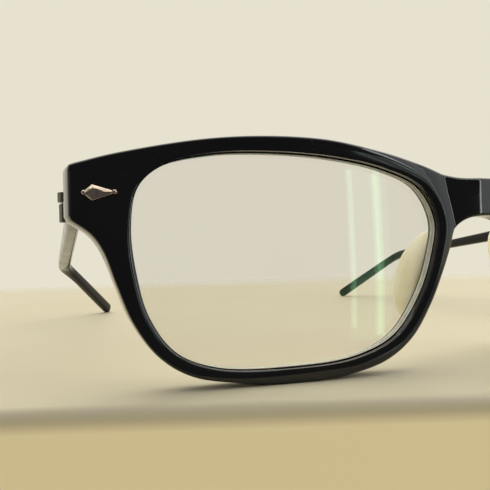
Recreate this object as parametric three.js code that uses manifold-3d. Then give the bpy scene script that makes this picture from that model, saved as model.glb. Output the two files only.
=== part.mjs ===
// Full-rim spectacles standing open on their lower rims and temple tips.
// A bent black acetate front holds two bevel-edged lenses and two bonded nose pads. A diamond-headed
// double rivet fixes each front hinge leaf; each acetate temple is stiffened by a flat metal core wire.
// Millimetres, +Z up, front face towards -Y. "Left" and "right" are the wearer's: left is at +X.
// Every side piece is drawn once, at +X, and mirrored for the other side.
import * as THREE from "three";
import { mergeVertices } from "three/addons/utils/BufferGeometryUtils.js";
import Module from "manifold-3d";

const wasm = await Module();
wasm.setup();

// ---- Driving dimensions --------------------------------------------------------------------------

// Lens openings, measured at the inner wall of the rims.
const OPENING_WIDTH = 51.1;
const OPENING_HEIGHT = 34.3;
const OPENING_GAP = 21.2; // over the nose, from opening to opening

// Rim widths around each opening, and the bridge.
const RIM_TOP = 2.5;
const RIM_BOTTOM = 2.3;
const RIM_NASAL = 3.1;
const RIM_OUTER = 3.4; // below the endpiece
const BRIDGE_TOP = 3.8; // how far the top of the bridge sits under the top of the openings
const BRIDGE_HEIGHT = 6.7;
const BRIDGE_HALF_WIDTH = 7; // where the nose cut-out turns down

// Endpieces, the wide corners that carry the hinges.
const ENDPIECE_REACH = 8.7; // from the opening to the side face
const ENDPIECE_HEIGHT = 9;
const ENDPIECE_DROP = 1.6; // top corner under the top of the openings
const ENDPIECE_CORNER = 1.1; // corner radius
const ENDPIECE_FLARE = 0.6; // the side face leans out by this much from front to back

// The sheet the front is cut from, and how it is bent.
const FRONT_THICKNESS = 4.4;
const FRONT_BEND_RADIUS = 238; // seen from above
const FRONT_DISH_RADIUS = 420; // seen from the side
const EDGE_BEVEL = 0.45;
const STANDING_FLAT = 6; // length of the flat under each rim

// Lenses and their groove.
const LENS_THICKNESS = 2;
const LENS_SETBACK = 1.5; // front of the lens behind the front of the rim
const LENS_BEVEL_HEIGHT = 0.6;
const LENS_BEVEL_WIDTH = 0.8;
const LENS_CLEARANCE = 0.12;
const GROOVE_CLEARANCE = 0.15;

// Nose pads.
const PAD_HEIGHT = 18;
const PAD_THICKNESS = 3.2;
const PAD_REACH = 6.6; // behind the front
const PAD_SPLAY = THREE.MathUtils.degToRad(14);
const PAD_LEAN = THREE.MathUtils.degToRad(23);
const BOND_GAP = 0.2; // glue line behind the pads, and seat of the rivet heads

// Diamond rivet heads on the endpieces.
const PLAQUE_LENGTH = 5.2;
const PLAQUE_HEIGHT = 2.4;
const PLAQUE_THICKNESS = 0.7;
const PLAQUE_FROM_SIDE = 3.65; // centre of the diamond to the side face
const PLAQUE_FROM_TOP = 4.65; // centre of the diamond under the endpiece's top corner
const RIVET_RADIUS = 0.45;
const RIVET_SPACING = 2.2;
const RIVET_CLEARANCE = 0.05;

// Hinges.
const BARREL_RADIUS = 1.3;
const UPPER_BARREL_RADIUS = 1.5; // wider, because the screw head sits in it
const UPPER_KNUCKLE = 1.5;
const MIDDLE_KNUCKLE = 1.4;
const LOWER_KNUCKLE = 1.4;
const KNUCKLE_GAP = 0.06;
const WASHER_THICKNESS = 0.3;
const HINGE_INSET = 0.85; // axis inside the widest edge of the endpiece
const HINGE_STANDOFF = 4.1; // axis behind the back of the front
const HINGE_BOTTOM = 26.6; // underside of the lowest knuckle
const LEAF_WIDTH = 4.6;
const LEAF_THICKNESS = 1;
const LEAF_CLEARANCE = 0.05;
const ARM_THICKNESS = 1.2; // from the leaf's plate back to its knuckles
const SCREW_RADIUS = 0.6;
const SCREW_HEAD_RADIUS = 1.05;
const SCREW_HEAD_HEIGHT = 0.5;
const SCREW_SLOT = 0.25;
const RUNNING_CLEARANCE = 0.05;

// Temples.
const TEMPLE_THICKNESS = 2.6; // at the hinge
const TEMPLE_THICKNESS_BEND = 3.6;
const TEMPLE_THICKNESS_TIP = 2.6;
const TEMPLE_INSET = 1.1; // centre of the bar's front end inside the hinge axis
const TEMPLE_START = 1.9; // front end of the bar behind the hinge axis
const TEMPLE_HEIGHT_FRONT = 4.8;
const TEMPLE_HEIGHT_BEND = 2.8;
const TEMPLE_HEIGHT_TIP = 3.3;
const TEMPLE_BEND_DEPTH = 93; // bend behind the hinge axis
const TEMPLE_BEND_HEIGHT = 18.2; // bend above the table
const TEMPLE_TOE_IN = 2; // the straight part closes in by this much
const TIP_DEPTH = 21.5; // tip behind the bend
const TIP_TOE_IN = 16;
const TIP_END_HEIGHT = 0.5; // centre of the rounded end, whose underside stands on the table
const BEND_SOFTNESS = 4.5; // length of each side of the rounded bend
const TIP_ROUNDING = 2.2;
const TEMPLE_CORNER = 0.9; // corner radius of the bar's section

// Core wires and the tongues of the temple hinge leaves, inside the temples.
const TONGUE_THICKNESS = 1.2;
const TONGUE_HEIGHT = 2.6;
const TONGUE_LENGTH = 9;
const ROOT_START = -0.8; // where the tongue's root leaves the neck, from the front end of the bar
const NECK_GAP = 0.25; // between the neck and the front end of the bar
const WIRE_THICKNESS = 1;
const WIRE_HEIGHT = 1.2;
const WIRE_TIP_MARGIN = 8; // acetate left behind the end of the wire
const CORE_CLEARANCE = 0.1;
const CORE_STEP = 6; // between the sections of a piece inside the temple
const TEMPLE_RIVET_SPACING = 4;
const TEMPLE_RIVET_RADIUS = 0.4;
const TEMPLE_RIVET_HEAD_RADIUS = 0.75;
const TEMPLE_RIVET_HEAD_HEIGHT = 0.3;
const TEMPLE_SKIN = 0.5; // acetate left over the ends of those rivets

// ---- Places worked out from them -----------------------------------------------------------------

const openingX = (share) => OPENING_GAP / 2 + share * OPENING_WIDTH;
const openingZ = (share) => RIM_BOTTOM + share * OPENING_HEIGHT;
const sideX = openingX(1) + ENDPIECE_REACH;
const bridgeTopZ = openingZ(1) - BRIDGE_TOP;
const bridgeBottomZ = bridgeTopZ - BRIDGE_HEIGHT;
const endpieceTopZ = openingZ(1) - ENDPIECE_DROP;
const endpieceBottomZ = endpieceTopZ - ENDPIECE_HEIGHT;
const frontMiddleZ = openingZ(0.5);

// Depth of the bent front face, 0 at the middle of the bridge.
const frontY = (x, z) =>
  x ** 2 / (2 * FRONT_BEND_RADIUS) + (z - frontMiddleZ) ** 2 / (2 * FRONT_DISH_RADIUS);
const frontSlope = (x) => x / FRONT_BEND_RADIUS;

// Knuckles from the bottom up: front leaf, temple leaf, washer, front leaf.
const middleKnuckleZ = HINGE_BOTTOM + LOWER_KNUCKLE + KNUCKLE_GAP;
const washerZ = middleKnuckleZ + MIDDLE_KNUCKLE + KNUCKLE_GAP;
const upperKnuckleZ = washerZ + WASHER_THICKNESS + KNUCKLE_GAP;
const hingeTopZ = upperKnuckleZ + UPPER_KNUCKLE;
const hingeMiddleZ = (HINGE_BOTTOM + hingeTopZ) / 2;
const screwHeadZ = hingeTopZ - SCREW_HEAD_HEIGHT - 0.05;
const hingeX = sideX + ENDPIECE_FLARE - HINGE_INSET;
const hingeY = frontY(hingeX, hingeMiddleZ) + FRONT_THICKNESS + HINGE_STANDOFF;

const templeStart = new THREE.Vector3(hingeX - TEMPLE_INSET, hingeY + TEMPLE_START, hingeMiddleZ);
const templeBend = new THREE.Vector3(
  templeStart.x - TEMPLE_TOE_IN,
  hingeY + TEMPLE_BEND_DEPTH,
  TEMPLE_BEND_HEIGHT,
);
const templeTip = new THREE.Vector3(
  templeBend.x - TIP_TOE_IN,
  templeBend.y + TIP_DEPTH,
  TIP_END_HEIGHT,
);

// ---- Solids --------------------------------------------------------------------------------------

function toSolid(geometry) {
  const bare = geometry.clone();
  bare.deleteAttribute("normal");
  bare.deleteAttribute("uv");
  const merged = mergeVertices(bare, 1e-4);
  return new wasm.Manifold(
    new wasm.Mesh({
      numProp: 3,
      vertProperties: merged.attributes.position.array,
      triVerts: new Uint32Array(merged.index.array),
    }),
  );
}

function toGeometry(solid) {
  const { vertProperties, triVerts } = solid.getMesh();
  const geometry = new THREE.BufferGeometry();
  geometry.setAttribute("position", new THREE.BufferAttribute(vertProperties, 3));
  geometry.setIndex(new THREE.BufferAttribute(triVerts, 1));
  const flat = geometry.toNonIndexed();
  flat.computeVertexNormals();
  return flat;
}

// Moves every vertex by a rule that takes and changes a Vector3.
function reshape(geometry, rule) {
  const points = geometry.attributes.position;
  const point = new THREE.Vector3();
  for (let i = 0; i < points.count; i++) {
    point.fromBufferAttribute(points, i);
    rule(point);
    points.setXYZ(i, point.x, point.y, point.z);
  }
  return geometry;
}

const followFront = (point) => {
  point.y += frontY(point.x, point.z);
};

// A plate from an outline in the XZ plane, from depth y0 to y1, with a bevel on its two faces.
function plate(shape, y0, y1, bevel = 0) {
  const geometry = new THREE.ExtrudeGeometry(shape, {
    depth: y1 - y0 - 2 * bevel,
    bevelEnabled: bevel > 0,
    bevelThickness: bevel,
    bevelSize: bevel,
    bevelOffset: -bevel,
    bevelSegments: 1,
    steps: 1,
  });
  return geometry.rotateX(Math.PI / 2).translate(0, y1 - bevel, 0);
}

function box(width, depth, height, x, y, z) {
  return new THREE.BoxGeometry(width, depth, height).translate(x, y, z);
}

// An upright cylinder from z0 to z1 on the hinge axis.
function hingeCylinder(radius, z0, z1, sides = 24) {
  return new THREE.CylinderGeometry(radius, radius, z1 - z0, sides)
    .rotateX(Math.PI / 2)
    .translate(hingeX, hingeY, (z0 + z1) / 2);
}

// ---- Front ---------------------------------------------------------------------------------------

// The lens opening at +X: shares of its width, from the nose out, and of its height, going round.
const OPENING_OUTLINE = [
  [1, 0.66],
  [0.977, 0.845],
  [0.908, 0.94],
  [0.765, 0.99],
  [0.6, 1],
  [0.375, 0.978],
  [0.195, 0.925],
  [0.06, 0.835],
  [0, 0.67],
  [0.02, 0.49],
  [0.073, 0.3],
  [0.172, 0.113],
  [0.315, 0.025],
  [0.53, 0],
  [0.76, 0.02],
  [0.88, 0.1],
  [0.955, 0.265],
  [0.987, 0.45],
];
const OPENING_POINTS = 40;

// Points of the opening's outline, moved outwards by an offset.
function openingPoints(offset) {
  const curve = new THREE.CatmullRomCurve3(
    OPENING_OUTLINE.map(([u, v]) => new THREE.Vector3(openingX(u), openingZ(v), 0)),
    true,
    "centripetal",
  );
  return Array.from({ length: OPENING_POINTS }, (_, i) => {
    const at = i / OPENING_POINTS;
    const point = curve.getPointAt(at);
    const along = curve.getTangentAt(at);
    return new THREE.Vector2(point.x + along.y * offset, point.y - along.x * offset);
  });
}

// The same outline at -X, still going round the same way.
const mirrorPoints = (points) => points.map((p) => new THREE.Vector2(-p.x, p.y)).reverse();

// Half of the outer outline at +X, from the top of the bridge round to its underside.
function outerHalf() {
  const top = openingZ(1) + RIM_TOP;
  const crown = [
    [0, bridgeTopZ],
    [openingX(0) * 0.55, bridgeTopZ + 0.15],
    [openingX(0.05), bridgeTopZ + 2.1],
    [openingX(0.2), top - 2.2],
    [openingX(0.38), top - 0.5],
    [openingX(0.57), top],
    [openingX(0.78), top - 0.55],
    [sideX - ENDPIECE_REACH * 0.75, top - 2.75],
    [sideX - ENDPIECE_CORNER, endpieceTopZ],
  ];
  const corner = [
    [sideX - 0.25 * ENDPIECE_CORNER, endpieceTopZ - 0.3 * ENDPIECE_CORNER],
    [sideX, endpieceTopZ - ENDPIECE_CORNER],
  ];
  const side = [
    [sideX, endpieceBottomZ + ENDPIECE_CORNER],
    [sideX - 0.3 * ENDPIECE_CORNER, endpieceBottomZ + 0.3 * ENDPIECE_CORNER],
  ];
  const cheek = [
    [sideX - 3.1, endpieceBottomZ - 1.9],
    [openingX(1) + RIM_OUTER + 0.6, openingZ(0.56)],
    [openingX(1) + RIM_OUTER - 1.15, openingZ(0.41)],
    [openingX(1) + RIM_OUTER - 3.5, openingZ(0.235)],
    [openingX(0.9) + RIM_OUTER - 2, openingZ(0.085)],
    [openingX(0.81) + 1.2, 2.1],
    [openingX(0.67), 0.5],
    [openingX(0.51) + STANDING_FLAT / 2, 0],
  ];
  const nose = [
    [openingX(0.51) - STANDING_FLAT / 2, 0],
    [openingX(0.33), 0.65],
    [openingX(0.21), 2.3],
    [openingX(0.115), openingZ(0.1)],
    [openingX(0.05) - 0.3, openingZ(0.25)],
    [openingX(0) - 0.35, openingZ(0.4)],
    [openingX(0) - RIM_NASAL + 0.8, openingZ(0.525)],
    [BRIDGE_HALF_WIDTH, bridgeBottomZ - 2.5],
    [BRIDGE_HALF_WIDTH - 1.5, bridgeBottomZ - 1.15],
    [BRIDGE_HALF_WIDTH - 3.8, bridgeBottomZ - 0.3],
    [0, bridgeBottomZ],
  ];
  return [
    ...smooth(crown, 20),
    ...smooth([crown.at(-1), ...corner], 3).slice(1),
    ...smooth(side, 1),
    ...smooth([side.at(-1), ...cheek], 20).slice(1),
    ...smooth(nose, 26),
  ];
}

// Points along a smooth curve through the given ones.
function smooth(points, divisions) {
  const curve = new THREE.CatmullRomCurve3(
    points.map(([x, z]) => new THREE.Vector3(x, z, 0)),
    false,
    "centripetal",
  );
  return curve.getSpacedPoints(divisions).map((p) => new THREE.Vector2(p.x, p.y));
}

function outerPoints() {
  const half = outerHalf();
  const otherHalf = mirrorPoints(half).slice(1, -1);
  return [...half, ...otherHalf];
}

// The endpieces' side faces lean out towards the back.
const flareEndpiece = (point) => {
  const reach = (Math.abs(point.x) - openingX(1)) / ENDPIECE_REACH;
  const share = THREE.MathUtils.smoothstep(reach, 0.2, 1);
  point.x += Math.sign(point.x) * ENDPIECE_FLARE * share * (point.y / FRONT_THICKNESS);
};

const grooveY = LENS_SETBACK + LENS_THICKNESS / 2;

function frontFrame() {
  const outline = new THREE.Shape(outerPoints());
  const opening = openingPoints(0);
  outline.holes.push(new THREE.Path(opening), new THREE.Path(mirrorPoints(opening)));
  const sheet = plate(outline, 0, FRONT_THICKNESS, EDGE_BEVEL);
  reshape(sheet, flareEndpiece);
  let solid = toSolid(reshape(sheet, followFront));
  const grooveWidth = LENS_BEVEL_WIDTH + 2 * GROOVE_CLEARANCE;
  const groove = toGeometry(lensSlice(grooveWidth, LENS_BEVEL_HEIGHT + GROOVE_CLEARANCE));
  for (const side of [1, -1]) {
    solid = solid.subtract(mirrored(groove, side));
    for (const hole of rivetShanks(RIVET_RADIUS + RIVET_CLEARANCE, 0.5)) {
      solid = solid.subtract(mirrored(hole, side));
    }
    solid = solid.subtract(mirrored(leafPlate(LEAF_CLEARANCE, 1), side));
  }
  return toGeometry(solid);
}

// The same geometry as a solid, on the +X side or the -X side.
function mirrored(geometry, side) {
  if (side > 0) return toSolid(geometry);
  const flipped = geometry.index ? geometry.toNonIndexed() : geometry.clone();
  flipped.scale(-1, 1, 1);
  const p = flipped.attributes.position;
  for (let i = 0; i < p.count; i += 3) {
    const [x, y, z] = [p.getX(i), p.getY(i), p.getZ(i)];
    p.setXYZ(i, p.getX(i + 1), p.getY(i + 1), p.getZ(i + 1));
    p.setXYZ(i + 1, x, y, z);
  }
  return toSolid(flipped);
}

// ---- Lenses --------------------------------------------------------------------------------------

// A curved slab that follows the front between two depths behind its face.
function frontSlab(y0, y1, x0, x1) {
  const margin = 6;
  const columns = Math.round((x1 - x0) / 6);
  const slab = new THREE.BoxGeometry(x1 - x0, y1 - y0, OPENING_HEIGHT + 2 * margin, columns, 1, 4);
  slab.translate((x0 + x1) / 2, (y0 + y1) / 2, frontMiddleZ);
  return toSolid(reshape(slab, followFront));
}

// A slice of the curved sheet in the middle of the lens, with the opening's outline moved outwards.
function lensSlice(thickness, offset) {
  const reach = 2;
  const prism = toSolid(plate(new THREE.Shape(openingPoints(offset)), -9, 30));
  const [y0, y1] = [grooveY - thickness / 2, grooveY + thickness / 2];
  return frontSlab(y0, y1, openingX(0) - reach, openingX(1) + reach).intersect(prism);
}

function lens() {
  const body = lensSlice(LENS_THICKNESS, -LENS_CLEARANCE);
  return toGeometry(body.add(lensSlice(LENS_BEVEL_WIDTH, LENS_BEVEL_HEIGHT - LENS_CLEARANCE)));
}

// ---- Nose pads -----------------------------------------------------------------------------------

// An almond lying along the back of the nasal rim, cut to the front's back face.
function nosePad() {
  const pad = new THREE.SphereGeometry(1, 20, 14);
  pad.rotateX(Math.PI / 2);
  pad.scale(PAD_THICKNESS / 2, PAD_REACH, PAD_HEIGHT / 2);
  pad.rotateZ(-PAD_SPLAY);
  pad.rotateY(-PAD_LEAN);
  const x = openingX(0) + 0.35;
  const z = openingZ(0.4);
  pad.translate(x, frontY(x, z) + FRONT_THICKNESS, z);
  const margin = 12;
  const front = frontSlab(-margin, FRONT_THICKNESS + BOND_GAP, x - margin, x + margin);
  return toGeometry(toSolid(pad).subtract(front));
}

// ---- Rivets and hinges ---------------------------------------------------------------------------

const plaqueX = sideX - PLAQUE_FROM_SIDE;
const plaqueZ = endpieceTopZ - PLAQUE_FROM_TOP;

// Turns a geometry drawn about the origin onto the endpiece, facing along the front's own slope.
function ontoEndpiece(geometry, depth) {
  const slope = Math.atan(frontSlope(plaqueX));
  return geometry
    .translate(0, depth, 0)
    .rotateZ(slope)
    .translate(plaqueX, frontY(plaqueX, plaqueZ), plaqueZ);
}

function rivetShanks(radius, overrun) {
  const length = FRONT_THICKNESS + 2 * overrun;
  return [-1, 1].map((side) =>
    ontoEndpiece(
      new THREE.CylinderGeometry(radius, radius, length, 16).translate((side * RIVET_SPACING) / 2, 0, 0),
      FRONT_THICKNESS / 2,
    ),
  );
}

// The diamond head with its two shanks, which pass through the endpiece and the leaf behind it.
function rivetPlaque() {
  const shape = new THREE.Shape([
    new THREE.Vector2(-PLAQUE_LENGTH * 0.66, 0),
    new THREE.Vector2(PLAQUE_LENGTH * 0.06, -PLAQUE_HEIGHT / 2),
    new THREE.Vector2(PLAQUE_LENGTH * 0.34, 0),
    new THREE.Vector2(PLAQUE_LENGTH * 0.06, PLAQUE_HEIGHT / 2),
  ]);
  const bevel = PLAQUE_THICKNESS * 0.7;
  const head = new THREE.ExtrudeGeometry(shape, {
    depth: PLAQUE_THICKNESS - bevel,
    bevelThickness: bevel,
    bevelSize: PLAQUE_HEIGHT * 0.3,
    bevelOffset: -PLAQUE_HEIGHT * 0.3,
    bevelSegments: 1,
  });
  head.rotateX(Math.PI / 2);
  const seat = BOND_GAP + seatRoom();
  const behind = box(2 * PLAQUE_LENGTH, 4, 2 * PLAQUE_HEIGHT, 0, 2, 0);
  const trimmed = toGeometry(toSolid(head).subtract(toSolid(behind)));
  let solid = toSolid(ontoEndpiece(trimmed, -seat));
  for (const shank of rivetShanks(RIVET_RADIUS, seat + PLAQUE_THICKNESS / 3)) {
    solid = solid.add(toSolid(shank));
  }
  return toGeometry(solid);
}

// Room that a flat head needs over the curved face under it.
function seatRoom() {
  return (PLAQUE_LENGTH * 0.66) ** 2 / (2 * FRONT_BEND_RADIUS);
}

// The plate of the front leaf, let into the back of the endpiece; as a recess, it runs out behind.
function leafPlate(clearance, runOut) {
  const height = hingeTopZ - HINGE_BOTTOM + 2 * clearance;
  const width = LEAF_WIDTH + 2 * clearance;
  const thickness = LEAF_THICKNESS + clearance + runOut;
  const x = hingeX - LEAF_WIDTH / 2;
  return box(width, thickness, height, 0, runOut - thickness / 2, 0)
    .rotateZ(Math.atan(frontSlope(x)))
    .translate(x, frontY(x, hingeMiddleZ) + FRONT_THICKNESS, hingeMiddleZ);
}

function frontLeaf() {
  const armX = hingeX - ARM_THICKNESS / 2 - 0.15;
  let solid = toSolid(leafPlate(0, 0));
  for (const [radius, z0, z1] of [
    [BARREL_RADIUS, HINGE_BOTTOM, HINGE_BOTTOM + LOWER_KNUCKLE],
    [UPPER_BARREL_RADIUS, upperKnuckleZ, hingeTopZ],
  ]) {
    const plateY = hingeY - HINGE_STANDOFF - LEAF_THICKNESS / 2;
    const armY = (plateY + hingeY) / 2;
    const arm = box(ARM_THICKNESS, hingeY - plateY, z1 - z0, armX, armY, (z0 + z1) / 2);
    solid = solid.add(toSolid(arm)).add(toSolid(hingeCylinder(radius, z0, z1)));
  }
  const bore = hingeCylinder(SCREW_RADIUS + RUNNING_CLEARANCE, HINGE_BOTTOM - 1, hingeTopZ + 1);
  const headRadius = SCREW_HEAD_RADIUS + RUNNING_CLEARANCE;
  const counterbore = hingeCylinder(headRadius, screwHeadZ - RUNNING_CLEARANCE, hingeTopZ + 1);
  solid = solid.subtract(toSolid(bore)).subtract(toSolid(counterbore));
  for (const hole of rivetShanks(RIVET_RADIUS + RIVET_CLEARANCE, 0.5)) solid = solid.subtract(toSolid(hole));
  return toGeometry(solid);
}

function washer() {
  const ring = toSolid(hingeCylinder(BARREL_RADIUS * 0.9, washerZ, washerZ + WASHER_THICKNESS));
  const bore = hingeCylinder(SCREW_RADIUS + RUNNING_CLEARANCE, washerZ - 1, washerZ + 1);
  return toGeometry(ring.subtract(toSolid(bore)));
}

// A slotted screw through the knuckles, its head sunk in the upper one.
function hingeScrew() {
  const headTop = screwHeadZ + SCREW_HEAD_HEIGHT;
  const shank = toSolid(hingeCylinder(SCREW_RADIUS, HINGE_BOTTOM, screwHeadZ + 0.1));
  const head = toSolid(hingeCylinder(SCREW_HEAD_RADIUS, screwHeadZ, headTop));
  const slot = box(4, SCREW_SLOT, SCREW_HEAD_HEIGHT, hingeX, hingeY, headTop);
  return toGeometry(shank.add(head).subtract(toSolid(slot)));
}

// ---- Temples -------------------------------------------------------------------------------------

// The centre line: straight back from the hinge, a soft bend, and a straight tip down to the table.
function templePath() {
  const straight = templeBend.clone().sub(templeStart).normalize();
  const down = templeTip.clone().sub(templeBend).normalize();
  const bendStart = templeBend.clone().addScaledVector(straight, -BEND_SOFTNESS);
  const bendEnd = templeBend.clone().addScaledVector(down, BEND_SOFTNESS);
  const path = new THREE.CurvePath();
  path.add(new THREE.LineCurve3(templeStart, bendStart));
  path.add(new THREE.QuadraticBezierCurve3(bendStart, templeBend, bendEnd));
  path.add(new THREE.LineCurve3(bendEnd, templeTip));
  return path;
}

const path = templePath();
const pathLength = path.getLength();
const bendAt = templeStart.distanceTo(templeBend) / pathLength;

// Lays a bar drawn along Z, from z = 0 to 1, along the centre line between two distances from its
// front end. The bar's X is the temple's thickness, inwards, and its Y the temple's height.
function alongTemple(geometry, from, to, scale) {
  const forward = new THREE.Vector3();
  const up = new THREE.Vector3();
  const inward = new THREE.Vector3();
  const centre = new THREE.Vector3();
  return reshape(geometry, (point) => {
    const distance = from + point.z * (to - from);
    const at = THREE.MathUtils.clamp(distance / pathLength, 0, 1);
    path.getPointAt(at, centre);
    forward.copy(path.getTangentAt(at));
    centre.addScaledVector(forward, Math.min(distance, 0)); // straight on, in front of the bar
    inward.set(-forward.y, forward.x, 0).normalize();
    up.crossVectors(forward, inward);
    const [wide, tall, outwards] = scale(distance);
    const [a, b] = [point.x * wide - outwards, point.y * tall];
    point.copy(centre).addScaledVector(inward, a).addScaledVector(up, b);
  });
}

// Height of the bar at a distance from its front end.
function templeHeight(distance) {
  const at = distance / pathLength;
  if (at < bendAt) {
    const share = THREE.MathUtils.smoothstep(at / bendAt, -0.25, 0.9);
    return THREE.MathUtils.lerp(TEMPLE_HEIGHT_FRONT, TEMPLE_HEIGHT_BEND, share);
  }
  const share = THREE.MathUtils.smoothstep((at - bendAt) / (1 - bendAt), 0, 0.8);
  return THREE.MathUtils.lerp(TEMPLE_HEIGHT_BEND, TEMPLE_HEIGHT_TIP, share);
}

// Its thickness, which is added on the outer side so that the inner face runs on smoothly.
function templeThickness(distance) {
  const at = distance / pathLength;
  if (at < bendAt) {
    const share = THREE.MathUtils.smoothstep(at / bendAt, 0, 1);
    return THREE.MathUtils.lerp(TEMPLE_THICKNESS, TEMPLE_THICKNESS_BEND, share);
  }
  const share = THREE.MathUtils.smoothstep((at - bendAt) / (1 - bendAt), 0, 0.3);
  return THREE.MathUtils.lerp(TEMPLE_THICKNESS_BEND, TEMPLE_THICKNESS_TIP, share);
}

// The bar's section shrinks to a round nose over the last stretch of the tip.
function tipShare(distance) {
  const left = Math.max(pathLength - distance, 0);
  if (left >= TIP_ROUNDING) return 1;
  return 0.35 + 0.65 * Math.sqrt(1 - (1 - left / TIP_ROUNDING) ** 2);
}

function roundedRectangle(width, height, radius) {
  const [w, h] = [width / 2, height / 2];
  const shape = new THREE.Shape();
  shape.moveTo(w, -h + radius);
  shape.absarc(w - radius, h - radius, radius, 0, Math.PI / 2);
  shape.absarc(-w + radius, h - radius, radius, Math.PI / 2, Math.PI);
  shape.absarc(-w + radius, -h + radius, radius, Math.PI, 1.5 * Math.PI);
  shape.absarc(w - radius, -h + radius, radius, 1.5 * Math.PI, 2 * Math.PI);
  return shape;
}

function bar(width, height, radius, steps) {
  const shape = roundedRectangle(width, height, radius);
  return new THREE.ExtrudeGeometry(shape, { depth: 1, steps, bevelEnabled: false, curveSegments: 2 });
}

function temple() {
  const outer = bar(TEMPLE_THICKNESS, TEMPLE_HEIGHT_FRONT, TEMPLE_CORNER, 26);
  let solid = toSolid(
    alongTemple(outer, 0, pathLength, (distance) => {
      const share = tipShare(distance);
      const thickness = templeThickness(distance);
      return [
        (share * thickness) / TEMPLE_THICKNESS,
        (share * templeHeight(distance)) / TEMPLE_HEIGHT_FRONT,
        (thickness - TEMPLE_THICKNESS) / 2,
      ];
    }),
  );
  const slot = core(TONGUE_THICKNESS, TONGUE_HEIGHT, -1, TONGUE_LENGTH, CORE_CLEARANCE);
  const channel = core(WIRE_THICKNESS, WIRE_HEIGHT, TONGUE_LENGTH - 1, wireEnd, CORE_CLEARANCE);
  solid = solid.subtract(toSolid(slot)).subtract(toSolid(channel));
  for (const place of rivetPlaces) {
    solid = solid.subtract(toSolid(templeRivetBody(place, CORE_CLEARANCE / 2)));
  }
  return toGeometry(solid);
}

// A flat bar inside the temple, between two distances from its front end, grown by a clearance. Its
// sections lie at the same distances for a piece and for the channel it lies in.
function core(thickness, height, from, to, clearance) {
  const end = to + clearance;
  const stations = [from];
  for (let i = Math.ceil((from + 0.5) / CORE_STEP); i * CORE_STEP < end - 0.5; i++) {
    stations.push(i * CORE_STEP);
  }
  stations.push(end);
  const steps = stations.length - 1;
  const [wide, tall] = [thickness + 2 * clearance, height + 2 * clearance];
  const section = reshape(new THREE.BoxGeometry(wide, tall, 1, 1, 1, steps), (point) => {
    point.z = (stations[Math.round((point.z + 0.5) * steps)] - from) / (end - from);
  });
  return alongTemple(section, from, end, () => [1, 1, 0]);
}

const wireEnd = pathLength - WIRE_TIP_MARGIN;

function coreWire() {
  const front = TONGUE_LENGTH + 3 * CORE_CLEARANCE;
  return core(WIRE_THICKNESS, WIRE_HEIGHT, front, wireEnd - CORE_CLEARANCE, 0);
}

// Where the two rivets of the temple leaf cross the bar, as distances from its front end.
const rivetPlaces = [TONGUE_LENGTH / 2 - TEMPLE_RIVET_SPACING / 2, TONGUE_LENGTH / 2 + TEMPLE_RIVET_SPACING / 2];

// A rivet across the temple: its head is let into the inner face and its shank stops short of the outer.
function templeRivetBody(place, clearance) {
  const inner = -TEMPLE_THICKNESS / 2;
  const shankEnd = TEMPLE_THICKNESS / 2 - TEMPLE_SKIN;
  const headRadius = TEMPLE_RIVET_HEAD_RADIUS + clearance;
  const radius = TEMPLE_RIVET_RADIUS + clearance;
  const overrun = clearance > 0 ? 0.5 : -0.02;
  const headDepth = TEMPLE_RIVET_HEAD_HEIGHT + clearance;
  const profile = [
    [0, inner - overrun],
    [headRadius, inner - overrun],
    [headRadius, inner + headDepth],
    [radius, inner + headDepth],
    [radius, shankEnd + clearance],
    [0, shankEnd + clearance],
  ].map(([r, at]) => new THREE.Vector2(r, at));
  const lathe = new THREE.LatheGeometry(profile, 16).rotateZ(-Math.PI / 2);
  const at = place / pathLength;
  const centre = path.getPointAt(at);
  return lathe.translate(centre.x, centre.y, centre.z);
}

// The middle knuckle and the tongue that runs into the temple's slot.
function templeLeaf() {
  const knuckle = hingeCylinder(BARREL_RADIUS, middleKnuckleZ, middleKnuckleZ + MIDDLE_KNUCKLE);
  const neckEnd = hingeY + TEMPLE_START - NECK_GAP;
  const neck = box(
    TEMPLE_INSET + TONGUE_THICKNESS / 2 + 0.6,
    neckEnd - hingeY,
    MIDDLE_KNUCKLE,
    hingeX - (TEMPLE_INSET + TONGUE_THICKNESS / 2 - 0.6) / 2,
    (hingeY + neckEnd) / 2,
    middleKnuckleZ + MIDDLE_KNUCKLE / 2,
  );
  const tongue = core(TONGUE_THICKNESS, TONGUE_HEIGHT, -0.1, TONGUE_LENGTH - CORE_CLEARANCE, 0);
  const root = core(TONGUE_THICKNESS, MIDDLE_KNUCKLE / 2, ROOT_START, 1, 0);
  let solid = toSolid(neck).add(toSolid(knuckle)).add(toSolid(root)).add(toSolid(tongue));
  const bore = hingeCylinder(SCREW_RADIUS + RUNNING_CLEARANCE, HINGE_BOTTOM - 1, hingeTopZ + 1);
  solid = solid.subtract(toSolid(bore));
  for (const place of rivetPlaces) {
    solid = solid.subtract(toSolid(templeRivetBody(place, RUNNING_CLEARANCE)));
  }
  return toGeometry(solid);
}

// ---- Assembly ------------------------------------------------------------------------------------

const material = (color, roughness, metalness = 0, opacity = 1) =>
  new THREE.MeshStandardMaterial({ color, roughness, metalness, opacity, transparent: opacity < 1 });

const MATERIALS = {
  acetate: material(0x0b0b0c, 0.08),
  lens: material(0xe9f2e6, 0.02, 0, 0.3),
  pad: material(0xd9cdab, 0.25, 0, 0.9),
  chrome: material(0xb8b2a8, 0.12, 1),
  gunmetal: material(0x3a3a38, 0.3, 1),
  steel: material(0xc4c4c2, 0.2, 1),
};

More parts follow.
